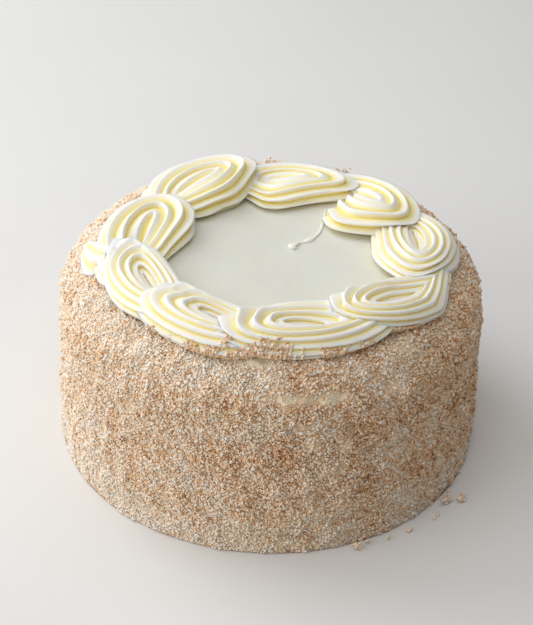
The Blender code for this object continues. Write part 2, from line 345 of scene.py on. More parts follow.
class Effects:
    """The shader node groups that several finishes share, each built once."""

    def __init__(self) -> None:
        """Build every group."""
        self.cream_tint_and_valley_shade = self.build_cream_tint_and_valley_shade()
        self.air_pits = self.build_air_pits()
        self.crumb_tone = self.build_crumb_tone()
        self.packed_grain = self.build_packed_grain()

    @staticmethod
    def build_cream_tint_and_valley_shade() -> Tree:
        """Colour of cream, from crest to a painted valley shade by its depth, with a soft mottle: the yellow
        valley colour stands in for the shade and warm interreflected light in the valleys.

        Returns:
            The group.
        """
        kinds = {"Place": VECTOR, "Crest": COLOR, "Valley": COLOR, "Depth": VALUE, "Mottle": VALUE}
        graph, given, result = new_group("cream_tint_and_valley_shade", kinds, {"Color": COLOR})
        broad = graph.math("SUBTRACT", graph.noise(given["Place"], 45.0, 3.0), 0.5)
        fine = graph.math("SUBTRACT", graph.noise(given["Place"], 400.0), 0.5)
        drift = graph.math("MULTIPLY_ADD", fine, 0.5, broad)
        share = graph.math("MULTIPLY_ADD", drift, given["Mottle"], given["Depth"])
        held = graph.fit(share, (0.0, 1.0), (0.0, 1.0))
        graph.feed(result["Color"], graph.mix(held, given["Crest"], given["Valley"]))
        return graph.tree

    @staticmethod
    def build_air_pits() -> Tree:
        """Tiny air pits and low swells of whipped icing, as a height in shares of a millimetre.

        Returns:
            The group.
        """
        kinds = {"Place": VECTOR, "Pits": VALUE, "Swell": VALUE}
        graph, given, result = new_group("air_pits", kinds, {"Height": VALUE})
        pit = graph.fit(graph.cells(given["Place"], 700.0)["Distance"], (0.0, 0.22), (-1.0, 0.0))
        where = graph.fit(graph.noise(given["Place"], 190.0), (0.52, 0.72), (0.0, 1.0))
        pits = graph.math("MULTIPLY", graph.math("MULTIPLY", pit, where), given["Pits"])
        broad = graph.noise(given["Place"], 160.0, 3.0)
        graph.feed(result["Height"], graph.math("MULTIPLY_ADD", broad, given["Swell"], pits))
        return graph.tree

    @staticmethod
    def build_crumb_tone() -> Tree:
        """Colour of baked crumb from pale to toasted, by a tone from 0 to 1, with specks.

        Returns:
            The group.
        """
        kinds = {"Place": VECTOR, "Tone": VALUE, "Speck": VALUE}
        graph, given, result = new_group("crumb_tone", kinds, {"Color": COLOR})
        speck = graph.math("SUBTRACT", graph.noise(given["Place"], 1500.0), 0.5)
        tone = graph.math("MULTIPLY_ADD", speck, given["Speck"], given["Tone"])
        stops = (
            (0.0, (0.98, 0.90, 0.79)),
            (0.3, (0.97, 0.78, 0.57)),
            (0.55, (0.91, 0.58, 0.32)),
            (0.8, (0.66, 0.36, 0.16)),
            (1.0, (0.36, 0.16, 0.07)),
        )
        graph.feed(result["Color"], graph.ramp(tone, stops))
        return graph.tree

    @staticmethod
    def build_packed_grain() -> Tree:
        """Packed grains: a tone for each, painted shade that darkens the gaps between them, and their
        height.

        Returns:
            The group.
        """
        kinds = {"Place": VECTOR, "Tone": VALUE}
        graph, given, result = new_group("packed_grain", kinds, {"Tone": VALUE, "Height": VALUE})
        cells = graph.cells(given["Place"], 1250.0)
        own = graph.math("MULTIPLY_ADD", cells["Color"], 0.55, -0.28)
        # painted shade: darker tone in the gaps between the grains
        painted_gap_shade = graph.fit(cells["Distance"], (0.30, 0.75), (0.0, 0.50))
        graph.feed(result["Tone"], graph.math("ADD", graph.math("ADD", given["Tone"], own), painted_gap_shade))
        graph.feed(result["Height"], graph.fit(cells["Distance"], (0.0, 0.8), (1.0, 0.0)))
        return graph.tree


def new_material(name: str) -> tuple[Material, Graph, Sockets, Socket]:
    """Start a material.

    Args:
        name: its name.

    Returns:
        The material, its graph, the Principled shader's inputs, and the object coordinates in metres.
    """
    material = bpy.data.materials.new(name)
    material.use_nodes = True
    graph = Graph(material.node_tree)
    place = graph.add("ShaderNodeTexCoord", {}).outputs["Object"]
    return material, graph, material.node_tree.nodes["Principled BSDF"].inputs, place


@dataclass(frozen=True)
class CreamFinish:
    """Whipped cream icing, satin and a little see-through at its edges."""

    name: str
    crest: Color
    # valley: colour of the painted valley shade, mixed in by the mesh's depth value
    valley: Color
    roughness: float
    mottle: float
    pits: float
    swell: float
    drag: float
    drag_stretch: Triple = (60.0, 1100.0, 1.0)
    soft: float = 0.60
    soft_reach: float = 0.0024
    soft_color: Color = (1.0, 0.75, 0.4)
    shine: float = 0.42

    def dress(self, effects: Effects) -> Material:
        """Build the material: the mesh's own depth value mixes in the painted valley shade, a yellow that
        stands in for the shade and interreflected light in the valleys.

        Args:
            effects: the shared node groups.

        Returns:
            The material.
        """
        material, graph, shader, place = new_material(self.name)
        colors = {"Crest": self.crest, "Valley": self.valley, "Mottle": self.mottle}
        tint = graph.group(effects.cream_tint_and_valley_shade, Place=place, Depth=graph.carried("depth"), **colors)
        graph.feed(shader["Base Color"], tint["Color"])
        rough = (self.roughness - 0.07, self.roughness + 0.07)
        graph.feed(shader["Roughness"], graph.fit(graph.noise(place, 220.0, 3.0), (0.3, 0.7), rough))
        pits = graph.group(effects.air_pits, Place=place, Pits=self.pits, Swell=self.swell)
        normal = graph.bump(pits["Height"], MM)
        if self.drag > 0.0:
            flow = graph.add("ShaderNodeMapping", {"Vector": graph.carried("flow", "Vector")})
            flow.inputs["Scale"].default_value = self.drag_stretch
            normal = graph.bump(graph.noise(flow.outputs["Vector"], 1.0), self.drag * MM, normal)
        graph.feed(shader["Normal"], normal)
        shader["Subsurface Weight"].default_value = self.soft
        shader["Subsurface Radius"].default_value = self.soft_color
        shader["Subsurface Scale"].default_value = self.soft_reach
        shader["Specular IOR Level"].default_value = self.shine
        return material


@dataclass(frozen=True)
class CrumbFinish:
    """Dry cake crumbs, from pale to toasted."""

    name: str
    speck: float
    roughness: float = 0.82
    relief: float = 0.25 * MM
    shine: float = 0.3

    def dress(self, effects: Effects) -> Material:
        """Build the material: the mesh carries the tone of each crumb.

        Args:
            effects: the shared node groups.

        Returns:
            The material.
        """
        material, graph, shader, place = new_material(self.name)
        tone = graph.group(effects.crumb_tone, Place=place, Tone=graph.carried("tone"), Speck=self.speck)
        graph.feed(shader["Base Color"], tone["Color"])
        grain = graph.noise(place, 2600.0, 3.0)
        rough = (self.roughness - 0.08, self.roughness + 0.08)
        graph.feed(shader["Normal"], graph.bump(grain, self.relief))
        graph.feed(shader["Roughness"], graph.fit(grain, (0.3, 0.7), rough))
        shader["Specular IOR Level"].default_value = self.shine
        return material


@dataclass(frozen=True)
class CoatFinish:
    """The coat under the loose crumbs: packed crumb, with icing showing where it is bare."""

    name: str
    icing: Color
    icing_shade: Color
    speck: float = 0.5
    rough_crumb: float = 0.8
    rough_icing: float = 0.5
    relief: float = 0.5 * MM
    shine: float = 0.3

    def dress(self, effects: Effects) -> Material:
        """Build the material: the mesh's bare value uncovers the icing.

        Args:
            effects: the shared node groups.

        Returns:
            The material.
        """
        material, graph, shader, place = new_material(self.name)
        packed = graph.group(effects.packed_grain, Place=place, Tone=graph.carried("tone"))
        tone = graph.group(effects.crumb_tone, Place=place, Tone=packed["Tone"], Speck=self.speck)
        colors = {"Crest": self.icing, "Valley": self.icing_shade}
        cream = graph.group(effects.cream_tint_and_valley_shade, Place=place, Depth=0.4, Mottle=0.8, **colors)
        bare = graph.carried("bare")
        graph.feed(shader["Base Color"], graph.mix(bare, tone["Color"], cream["Color"]))
        grain = graph.math("MULTIPLY_ADD", graph.noise(place, 1900.0, 4.0, 0.6), 0.5, packed["Height"])
        covered = graph.math("SUBTRACT", 1.0, graph.math("MULTIPLY", bare, 0.9))
        graph.feed(shader["Normal"], graph.bump(graph.math("MULTIPLY", grain, covered), self.relief))
        rough = graph.fit(bare, (0.0, 1.0), (self.rough_crumb, self.rough_icing))
        graph.feed(shader["Roughness"], rough)
        shader["Specular IOR Level"].default_value = self.shine
        return material


@dataclass(frozen=True)
class FloorFinish:
    """Pale matt paper for the floor."""

    light: Color = (0.80, 0.80, 0.79)
    shade: Color = (0.75, 0.75, 0.745)
    roughness: float = 0.9

    def dress(self) -> Material:
        """Build the material: a faint cloudy variation.

        Returns:
            The material.
        """
        material, graph, shader, place = new_material("floor_paper")
        graph.feed(shader["Base Color"], graph.mix(graph.noise(place, 6.0, 3.0), self.light, self.shade))
        shader["Roughness"].default_value = self.roughness
        return material


# The valley colour is painted shade: its yellow stands in for the shade and warm interreflected light deep
# in the valleys, which the depth value mixes in.
PIPED = CreamFinish(
    name="cream_piped",
    crest=(0.91, 0.905, 0.88),
    valley=(1.0, 0.81, 0.22),
    roughness=0.42,
    mottle=0.25,
    pits=0.06,
    swell=0.06,
    drag=0.06,
)
# The spread cream's colours are darker than the piped cream's: painted shade on the top disc, which lies
# full under the top light.
SPREAD = CreamFinish(
    name="cream_spread",
    crest=(0.74, 0.75, 0.705),
    valley=(0.78, 0.75, 0.61),
    roughness=0.50,
    mottle=0.35,
    pits=0.05,
    swell=0.15,
    drag=0.0,
)
CRUMB = CrumbFinish("crumb_grain", speck=0.35)
COAT = CoatFinish("crumb_coat_bed", icing=(0.90, 0.85, 0.70), icing_shade=(0.88, 0.76, 0.48))


# ---- the cake's outline


@dataclass(frozen=True)
class CakeForm:
    """Outline of the cake: a flat top, an elliptical shoulder, a wall and a foot."""

    wall_radius_low: float
    wall_radius_high: float = 0.1043
    top_height: float = 0.1038
    shoulder_drop: float = 0.0280
    shoulder_start: float = 0.0780
    icing_radius: float = 0.0800
    icing_thickness: float = 0.0016
    steps: int = 400
    slope_step: float = 0.1 * MM

    @classmethod
    def from_frame(cls) -> "CakeForm":
        """Take the wall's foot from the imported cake, less the crumbs that stand out from it."""
        return cls(wall_radius_low=round(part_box("cake_body")[1].x - CRUMB_REACH, 6))

    def crown_height(self, radius: Array) -> Array:
        """Height of the top and shoulder: the top less the drop of an ellipse's quarter.

        Args:
            radius: distances from the axis.

        Returns:
            The heights.
        """
        span = self.wall_radius_high - self.shoulder_start
        share = np.clip((radius - self.shoulder_start) / span, 0.0, 1.0)
        return self.top_height - self.shoulder_drop * (1.0 - np.sqrt(1.0 - share**2))

    def outline(self) -> tuple[Array, Array, Array]:
        """The crumbed outside, from the shoulder's start to the foot.

        The shoulder is a quarter of an ellipse and the wall a straight line; the run is the
        length along them.

        Returns:
            Run, radius and height of each point.
        """
        span = self.wall_radius_high - self.shoulder_start
        turn = np.linspace(0.0, math.pi / 2, self.steps)
        radius = self.shoulder_start + span * np.sin(turn)
        height = self.top_height - self.shoulder_drop * (1.0 - np.cos(turn))
        radius = np.append(radius, self.wall_radius_low)
        height = np.append(height, 0.0)
        run = np.append(0.0, np.cumsum(np.hypot(np.diff(radius), np.diff(height))))
        return run, radius, height

    def run_length(self) -> float:
        """Length of the outline from the shoulder's start to the foot."""
        return float(self.outline()[0][-1])

    def spots(self, angle: Array, run: Array) -> "Spots":
        """Find places on the crumbed outside; their normal is square to the outline's slope.

        Args:
            angle: angles round the axis.
            run: lengths along the outline.

        Returns:
            The places.
        """
        table, radius, height = self.outline()
        ahead = np.minimum(run + self.slope_step, table[-1])
        behind = np.maximum(run - self.slope_step, 0.0)
        slope_r = np.interp(ahead, table, radius) - np.interp(behind, table, radius)
        slope_z = np.interp(ahead, table, height) - np.interp(behind, table, height)
        size = np.hypot(slope_r, slope_z)
        here = (np.interp(run, table, radius), np.interp(run, table, height))
        return Spots(angle, run, *here, -slope_z / size, slope_r / size, self)


@dataclass(frozen=True)
class Spots:
    """Places on the crumbed outside, with the two parts of the outward normal."""

    angle: Array
    run: Array
    radius: Array
    height: Array
    out_radius: Array
    out_height: Array
    form: CakeForm

    @property
    def points(self) -> Array:
        """The places as points in space."""
        return round_axis(self.radius, self.angle, self.height)

    def pushed(self, far: Array) -> tuple[Array, Array]:
        """Radius and height after a move outwards along the normal."""
        return self.radius + self.out_radius * far, self.height + self.out_height * far


# ---- piped scrolls


@dataclass(frozen=True)
class Curl:
    """How one scroll curls: its eye, its head and its tail.

    flutes is how many ridges a whole rope has, groove how far they are round with fine valleys
    rather than fine with round valleys, and first_ridge the innermost one's angle in degrees.
    hollow is how far the curl's middle sinks, from 0 for level to 1 for a whole rope's edge, and
    crease how far the crease lies below the innermost ridge, both as shares of the height. eye is
    the eye's length as a share of the slit's, and eye_ahead and eye_out shift it towards the tail
    and outwards. peak is how far the ridges rise to a common height where they turn, peak_turn
    where the outermost does so, in radians past the head towards the inner side, and cusp draws
    them out into points there. square is the power of the head's outer arch: 1 is round, and less
    is squarer. lead is how far the head's outer side begins further back, and skew leads its inner
    side ahead. start is where the inner leg begins with a blunt end, along the ring from the
    middle. sweep leads the tail's outer side on, tail_point makes the tail pointed, and the last
    three are its tapers.
    """

    flutes: int = 14
    groove: float = 0.60
    first_ridge: float = 158.0
    hollow: float = 0.95
    crease: float = 0.20
    eye: float = 0.4
    eye_ahead: float = 0.0
    eye_out: float = 0.0
    peak: float = 0.9
    peak_turn: float = 0.0
    cusp: float = 0.20
    square: float = 1.0
    lead: float = 0.0
    skew: float = 0.0
    start: float = 1.0
    sweep: float = 0.0
    tail_point: float = 0.0
    tail_inward: float = 0.80
    tail_outward: float = 0.88
    tail_height: float = 0.65


@dataclass(frozen=True)
class Nozzle:
    """The star nozzle: one leg of a scroll is half of the rope that it squeezes out.

    depth is how deep the valleys are in shares of the radius, for ten flutes.
    """

    depth: float = 0.31
    depth_flutes: int = 10
    softness: float = 0.05
    foot_angle: float = math.radians(-54)
    axis_share: float = 0.36
    rows: int = 96
    crease_rows: int = 8

    def section(self, curl: Curl) -> tuple[Array, Array, Array]:
        """Section of one leg, from the crease over the ridges to the foot.

        The rope's edge is an ellipse. Its radius dips between the ridges by the absolute sine of
        the flute angle, which leaves fine ridges and round valleys, mixed with one less its
        absolute cosine, which leaves round ridges and fine valleys, both softened where they are
        sharp. On the curl's side of the top the edge falls by the hollow's share of the ellipse's
        own fall.

        Args:
            curl: whose flutes, innermost ridge, hollow and crease the section has.

        Returns:
            Share of the width, share of the height, and how deep in a valley, from 0 to 1.
        """
        first_ridge = math.radians(curl.first_ridge)
        angle = np.linspace(first_ridge, self.foot_angle, self.rows)
        flute = curl.flutes * (angle - first_ridge) / 2
        soft = self.softness
        waves = np.stack([np.sin(flute), np.cos(flute)])
        keen, blunt = (np.hypot(waves, soft) - soft) / (math.hypot(1.0, soft) - soft)
        valley = keen + curl.groove * (1.0 - blunt - keen)
        dip = 1.0 - self.depth * valley * self.depth_flutes / curl.flutes
        across = 0.5 + 0.5 * dip * np.cos(angle)
        below = self.axis_share / abs(math.sin(self.foot_angle))
        reach = np.where(angle > 0, 1.0 - self.axis_share, below)
        edge = np.where(angle > math.pi / 2, 1.0 - curl.hollow * (1.0 - np.sin(angle)), np.sin(angle))
        up = self.axis_share + reach * dip * edge
        share = np.linspace(0.0, 1.0, self.crease_rows, endpoint=False)
        fall = 1.0 - share**2
        return (
            np.concatenate([across[0] * share, across]),
            np.concatenate([up[0] - curl.crease * fall, up]),
            np.concatenate([fall, valley]),
        )


@dataclass(frozen=True)
class Scroll:
    """One piped scroll: where it lies round the ring, how far it reaches, and how it curls.

    The angles are in degrees, anticlockwise from +X. The rope starts on the inner side, turns at
    the head and sweeps back along the outer side to the tail.
    """

    number: int
    head: float
    tail: float
    head_radius: float
    tail_radius: float
    inward: float
    outward: float
    ahead: float
    height: float
    curl: Curl

    @property
    def node(self) -> str:
        """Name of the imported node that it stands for."""
        return f"icing_scroll_{self.number}"

    @property
    def mean_radius(self) -> float:
        """Radius of the ring at the scroll's middle."""
        return 0.5 * (self.head_radius + self.tail_radius)

    @property
    def half_length(self) -> float:
        """Half of the length of the slit that the ropes run round."""
        return 0.5 * math.radians(self.tail - self.head) * self.mean_radius


@dataclass(frozen=True)
class ScrollShape:
    """How every scroll is made from the nozzle's section: its taper, its unevenness and its grid.

    wander and swell each have a size, a wavelength and the first seed.
    """

    tail_overhang: float = 0.80
    tail_power: float = 1.5
    around: int = 256
    start_round: float = 0.0035
    start_lobe: float = 0.0030
    start_fade: float = 0.3
    foot_sunk: float = 0.0005
    skirt: float = 0.0025
    skirt_shares: Triple = (0.98, 0.5, 0.0)
    wander: tuple[float, float, int] = (0.035, 1.1, 100)
    swell: tuple[float, float, int] = (0.04, 1.3, 200)
    peak_march: float = 2.0
    peak_outer: float = 0.95
    peak_inner: float = 0.40
    peak_height: float = 1.10
    peak_outermost: float = 0.80
    peak_valley: float = 0.30
    cusp_width: float = 0.22
    cusp_soft: float = 0.06
    # Painted shade: how sharply it gathers in the valleys, and how much it adds low towards the foot.
    valley_shade_power: float = 2.0
    painted_foot_shade: float = 0.35

    def points(self, scroll: Scroll, nozzle: Nozzle, form: CakeForm) -> tuple[Array, dict[str, Array]]:
        """Rows of points round one scroll, and what they carry.

        The loop angle u runs once round a slit, and each ridge is a long U round the curl. The
        inner leg can begin with a blunt end.

        Args:
            scroll: which scroll.
            nozzle: whose section it has.
            form: the cake that it lies on.

        Returns:
            A grid of points, rows by columns, and for each point its depth and its flow.
        """
        u = whole_turn(self.around)
        rows, heights, valley = self.ridges(scroll, nozzle, u)
        along, side = self.laid(scroll, u, rows)
        past = (along - scroll.curl.start + self.start_lobe * valley[:, None]) / self.start_round
        blunt = np.where(np.sin(u) < 0, 1 - np.sqrt(1 - np.clip(past, 0.0, 1.0) ** 2), 0.0)
        heights = heights * (1 - blunt * np.clip(rows / self.start_fade, 0.0, 1.0))
        share = np.clip(0.5 + 0.5 * along / scroll.half_length, -0.5, 1.5)
        radius = scroll.head_radius + (scroll.tail_radius - scroll.head_radius) * share + side
        angle = math.radians(0.5 * (scroll.head + scroll.tail)) + along / scroll.mean_radius
        points = round_axis(radius, angle, form.crown_height(radius) - self.foot_sunk + heights)
        return points, self.carried(u, valley, heights, scroll)

    def ridges(self, scroll: Scroll, nozzle: Nozzle, u: Array) -> tuple[Array, Array, Array]:
        """Carry the section round the curl: its ridges rise round the head and sink to the tail.

        Round the head the ridges rise to one height and come to points, the inner ones further
        round than the outer. Seeded waves make them wander a little, as a hand does. Three more
        rows close the scroll below its foot.

        Args:
            scroll: which scroll.
            nozzle: whose section it has.
            u: the loop angles, one for each column.

        Returns:
            Share of the width and height of each point, and how deep in a valley each row is.
        """
        curl = scroll.curl
        across, up, valley = nozzle.section(curl)
        peaking, pointing = self.peaks(curl, u, across)
        crest = np.interp(across, (0.8, 1.0), (self.peak_height, self.peak_outermost))
        crest = crest - self.peak_valley * valley
        level = up[:, None] + peaking * np.clip(crest[:, None] - up[:, None], 0.0, None)
        rise = scroll.height * (1 - (1 - curl.tail_height) * (0.5 + 0.5 * np.cos(u)) ** self.tail_power)
        seat = round_axis(across[:, None], u, up[:, None])
        wander, swell = (
            1 + size * np.clip(across * 4, 0.0, 1.0)[:, None] * wavy(seat, length, seed + scroll.number)
            for size, length, seed in (self.wander, self.swell)
        )
        rows = across[:, None] * wander * (1 + curl.cusp * pointing * (1 - valley)[:, None])
        below = np.array(self.skirt_shares)[:, None]
        rows = np.concatenate([rows, rows[-1] * below])
        heights = np.concatenate([level * rise * swell, np.full_like(rows[-1] * below, -self.skirt)])
        return rows, heights, np.append(valley, np.ones(len(below)))

    def laid(self, scroll: Scroll, u: Array, rows: Array) -> tuple[Array, Array]:
        """Lay the rows round the scroll's slit.

        The slit point lies at half_length * cos u along the ring, and the section reaches from it
        along (overhang * cos u, width * sin u). Width and overhang ease to the tail.

        Args:
            scroll: which scroll.
            u: the loop angles, one for each column.
            rows: the share of the width of each point.

        Returns:
            How far along the ring from the scroll's middle, and how far out, each point lies.
        """
        curl = scroll.curl
        cosine = np.cos(u)
        to_tail = 0.5 + 0.5 * cosine
        inner = np.sin(u) < 0
        taper = np.where(inner, curl.tail_inward, curl.tail_outward)
        width = np.where(inner, scroll.inward, scroll.outward) * (1 - (1 - taper) * to_tail)
        overhang = scroll.ahead * (1 - (1 - self.tail_overhang) * to_tail)
        pointed = np.sign(cosine) * (1 - np.abs(np.sin(u)))
        arch = np.where(cosine > 0, cosine + curl.tail_point * (pointed - cosine), cosine)
        arch = np.where((cosine < 0) & ~inner, -(np.abs(cosine) ** curl.square), arch)
        reach = overhang + (1 - curl.eye) * scroll.half_length
        inwards = np.clip(1 - rows, 0.0, 1.0)
        side = rows * (width * np.sin(u)) + curl.eye_out * inwards
        along = curl.eye * scroll.half_length * cosine + rows * (reach * arch) + curl.eye_ahead * inwards
        along = along + curl.skew * side * (1 - to_tail)
        led = np.clip(np.sin(u), 0.0, None) * (curl.sweep * to_tail - curl.lead * (1 - to_tail))
        return along + rows * led, side

    def peaks(self, curl: Curl, u: Array, across: Array) -> tuple[Array, Array]:
        """How far each point belongs to a peak: a bell and a cusp about the angle where its ridge turns.

        Args:
            curl: whose peaks they are.
            u: the loop angles, one for each column.
            across: the section's share of the width, one for each row.

        Returns:
            The broad bell and the sharp cusp, from 0 to 1, rows by columns.
        """
        outside = np.clip((across - 0.25) / 0.25, 0.0, 1.0) * np.clip((1.0 - across) / 0.02, 0.0, 1.0)
        place = math.pi + curl.peak_turn + self.peak_march * np.clip(0.97 - across, 0.0, 0.40)
        past = u[None, :] - place[:, None]
        width = np.where(past < 0, self.peak_outer, self.peak_inner)
        bell = curl.peak * outside[:, None] * np.exp(-((past / width) ** 2))
        return bell, outside[:, None] * np.exp(-np.hypot(past, self.cusp_soft) / self.cusp_width)

    def carried(self, u: Array, valley: Array, heights: Array, scroll: Scroll) -> dict[str, Array]:
        """What the points carry: depth, the share of painted shade, high in the valleys and towards the
        foot, and the icing's flow.

        Args:
            u: the loop angles, one for each column.
            valley: how deep in a valley each row is.
            heights: each point's height over the cake.
            scroll: which scroll.

        Returns:
            The depth, and the flow along and across the ridges.
        """
        low = np.clip(1.0 - heights / (0.5 * scroll.height), 0.0, 1.0)
        # painted shade: deep in the valleys and low towards the foot
        depth = np.clip(valley[:, None] ** self.valley_shade_power + self.painted_foot_shade * low, 0.0, 1.0)
        run = (scroll.half_length + scroll.ahead) * (0.5 - 0.5 * np.cos(u)) * np.ones_like(heights)
        girth = np.linspace(0.0, 2.5 * scroll.height, len(heights))[:, None] * np.sign(np.sin(u) + 1e-9)
        flow = np.stack([run, girth, np.full_like(heights, 0.1 * scroll.number)], axis=-1)
        return {"depth": depth.reshape(-1), "flow": flow.reshape(-1, 3)}


DEEP = Curl()
TONGUE = replace(
    DEEP,
    flutes=10,
    groove=0.25,
    first_ridge=139.0,
    hollow=0.30,
    eye=0.6,
    peak=0.0,
    cusp=0.0,
    skew=-0.2,
    tail_inward=0.62,
    tail_height=0.55,
)
CURLS = (
    replace(DEEP, eye=0.6, peak=0.3, cusp=0.0),
    replace(TONGUE, hollow=0.5, eye=0.5, start=0.004, tail_inward=0.55),
    replace(TONGUE, skew=-0.9, eye=0.4),
    replace(TONGUE, skew=-0.35),
    replace(TONGUE, sweep=0.020),
    replace(DEEP, peak_turn=-0.46, square=0.8),
    replace(DEEP, peak_turn=0.05, eye_ahead=-0.002, square=0.35, lead=0.020),
    replace(DEEP, peak_turn=-0.26, eye=0.3, eye_ahead=-0.010, square=0.4, lead=0.008),
    replace(
        DEEP,
        peak_turn=0.4,
        eye=0.3,
        eye_ahead=-0.012,
        eye_out=0.002,
        square=0.8,
        lead=-0.005,
        tail_point=0.8,
        tail_outward=0.65,
    ),
)


@dataclass(frozen=True)
class ScrollRing:
    """The ring of piped scrolls, in the order of piping."""

    # number, head, tail, head_radius, tail_radius, inward, outward, ahead, height, curl
    scrolls: tuple[Scroll, ...] = (
        Scroll(1, 350, 376, 0.0710, 0.0695, 0.0255, 0.0220, 0.0190, 0.0110, CURLS[0]),
        Scroll(2, 388, 414, 0.0610, 0.0620, 0.0350, 0.0230, 0.0215, 0.0125, CURLS[1]),
        Scroll(3, 429, 460, 0.0565, 0.0575, 0.0310, 0.0205, 0.0190, 0.0108, CURLS[2]),
        Scroll(4, 475, 508, 0.0600, 0.0610, 0.0270, 0.0225, 0.0185, 0.0150, CURLS[3]),
        Scroll(5, 526, 550, 0.0600, 0.0650, 0.0265, 0.0250, 0.0230, 0.0130, CURLS[4]),
        Scroll(6, 564, 585, 0.0695, 0.0715, 0.0170, 0.0200, 0.0205, 0.0120, CURLS[5]),
        Scroll(7, 602, 622, 0.0715, 0.0735, 0.0155, 0.0205, 0.0205, 0.0120, CURLS[6]),
        Scroll(8, 638, 660, 0.0735, 0.0745, 0.0210, 0.0180, 0.0290, 0.0120, CURLS[7]),
        Scroll(9, 672, 702, 0.0735, 0.0820, 0.0185, 0.0190, 0.0230, 0.0125, CURLS[8]),
    )
    nozzle: Nozzle = Nozzle()
    shape: ScrollShape = ScrollShape()

    def edge_places(self, form: CakeForm) -> Array:
        """Points of the scrolls' outer ridges and foot, where crumbs can lie.

        Args:
            form: the cake that the scrolls lie on.

        Returns:
            The points, one row each.
        """
        grids = [self.shape.points(scroll, self.nozzle, form)[0] for scroll in self.scrolls]
        edges = [grid[len(grid) // 2 : -4, 1 : self.shape.around // 2] for grid in grids]
        return np.concatenate([edge.reshape(-1, 3) for edge in edges])

    def build(self, form: CakeForm, cream: Material) -> None:
        """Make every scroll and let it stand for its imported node.

        Args:
            form: the cake that the scrolls lie on.
            cream: what they are dressed in.
        """
        for scroll in self.scrolls:
            grid, carried = self.shape.points(scroll, self.nozzle, form)
            faces = closed_faces(*grid.shape[:2], folded=True)
            piece = mesh_piece(f"piped_scroll_{scroll.number}", grid, faces, cream, carried)
            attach(piece, BODY)
            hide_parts(scroll.node)
            report(piece)


@dataclass(frozen=True)
class PipedEnd:
    """The pointed end of a piped rope that hangs out beside the ring.

    angles and radii place its start, middle and end.
    """

    angles: Triple = (195.0, 187.0, 176.5)
    radii: Triple = (0.0810, 0.0862, 0.0920)
    half_width: float = 0.0095
    height: float = 0.0090
    flutes: int = 7
    depth: float = 0.20
    rounding: float = 0.3
    steps: int = 72
    around: int = 112

    def build(self, form: CakeForm, cream: Material) -> None:
        """Carry a fluted half-round along a curve on the cake, round at its start, pointed at its end.

        The line is a quadratic curve through three places given by angle and radius. Its size
        rises as a quarter circle and falls as a power of the share still to go. The section is an
        ellipse above the cake whose radius dips by the absolute sine of the flute angle.

        Args:
            form: the cake that it lies on.
            cream: what it is dressed in.
        """
        share = np.linspace(0.0, 1.0, self.steps)
        angle = np.radians(np.polyval(np.polyfit((0.0, 0.5, 1.0), self.angles, 2), share))
        radius = np.polyval(np.polyfit((0.0, 0.5, 1.0), self.radii, 2), share)
        line = round_axis(radius, angle, 0 * share)[:, :2]
        rise = np.sqrt(np.clip(1 - (1 - share / self.rounding) ** 2, 0.0, 1.0))
        fall = np.clip((1 - share) / (1 - self.rounding), 0.0, 1.0) ** 0.6
        size = np.where(share < self.rounding, rise, fall)[:, None]
        turn = whole_turn(self.around)
        valley = np.abs(np.sin(self.flutes * turn / 2))
        dip = 1 - self.depth * valley
        flat = beside(line, self.half_width * size * dip * np.cos(turn))
        lift = self.height * size * dip * np.clip(np.sin(turn), -0.1, None)
        grid = np.dstack([flat, form.crown_height(np.linalg.norm(flat, axis=-1)) + lift])
        flow = np.stack(np.broadcast_arrays(0.02 * share[:, None], 0.003 * turn, 0.0), axis=-1)
        # painted shade deep in the flutes, carried as depth
        values = {"depth": np.tile(0.8 * valley**2.4, self.steps), "flow": flow.reshape(-1, 3)}
        piece = mesh_piece("piped_end", grid, closed_faces(self.steps, self.around), cream, values)
        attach(piece, BODY)
        report(piece)


# ---- spread icing


@dataclass(frozen=True)
class IcedTop:
    """The smooth iced disc inside the ring of scrolls."""

    rings: int = 170
    around: int = 300
    wave_height: float = 0.00016
    pimple_height: float = 0.00012
    pimple_rarity: float = 1.9
    # depth: the share of the valley colour all over, and how much more painted shade it has at the edge
    depth: Span = (0.25, 0.45)

    def build(self, form: CakeForm, icing: Material) -> None:
        """Make the disc: a closed polar grid, level but for low spatula waves, with a wall below.

        Height is the crown height plus broad waves and small pimples, both seeded sums of waves.

        Args:
            form: the cake that it lies on.
            icing: what it is dressed in.
        """
        radius = form.icing_radius * np.linspace(0.0, 1.0, self.rings + 1)[1:]
        radius = np.append(radius, radius[-1])[:, None] * np.ones(self.around)
        grid = round_axis(radius, whole_turn(self.around), 0.0)
        waves = self.wave_height * wavy(grid, 0.034, 31)
        pimples = self.pimple_height * np.clip(wavy(grid, 0.004, 32) - self.pimple_rarity, 0.0, None)
        low = form.top_height - form.icing_thickness
        grid[:, :, 2] = form.crown_height(radius) + waves + pimples
        grid[-1, :, 2] = low
        middle = [[0.0, 0.0, form.top_height + float(waves[0].mean())], [0.0, 0.0, low]]
        points = np.concatenate([grid.reshape(-1, 3), middle])
        # painted shade: the disc's cream grows yellower towards the ring of scrolls
        edge = np.clip((np.hypot(points[:, 0], points[:, 1]) - 0.030) / 0.030, 0.0, 1.0)
        values = {"depth": self.depth[0] + self.depth[1] * edge**2}
        piece = mesh_piece("iced_top", points, capped_faces(self.rings + 1, self.around), icing, values)
        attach(piece, BODY)
        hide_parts("icing_top")
        report(piece)


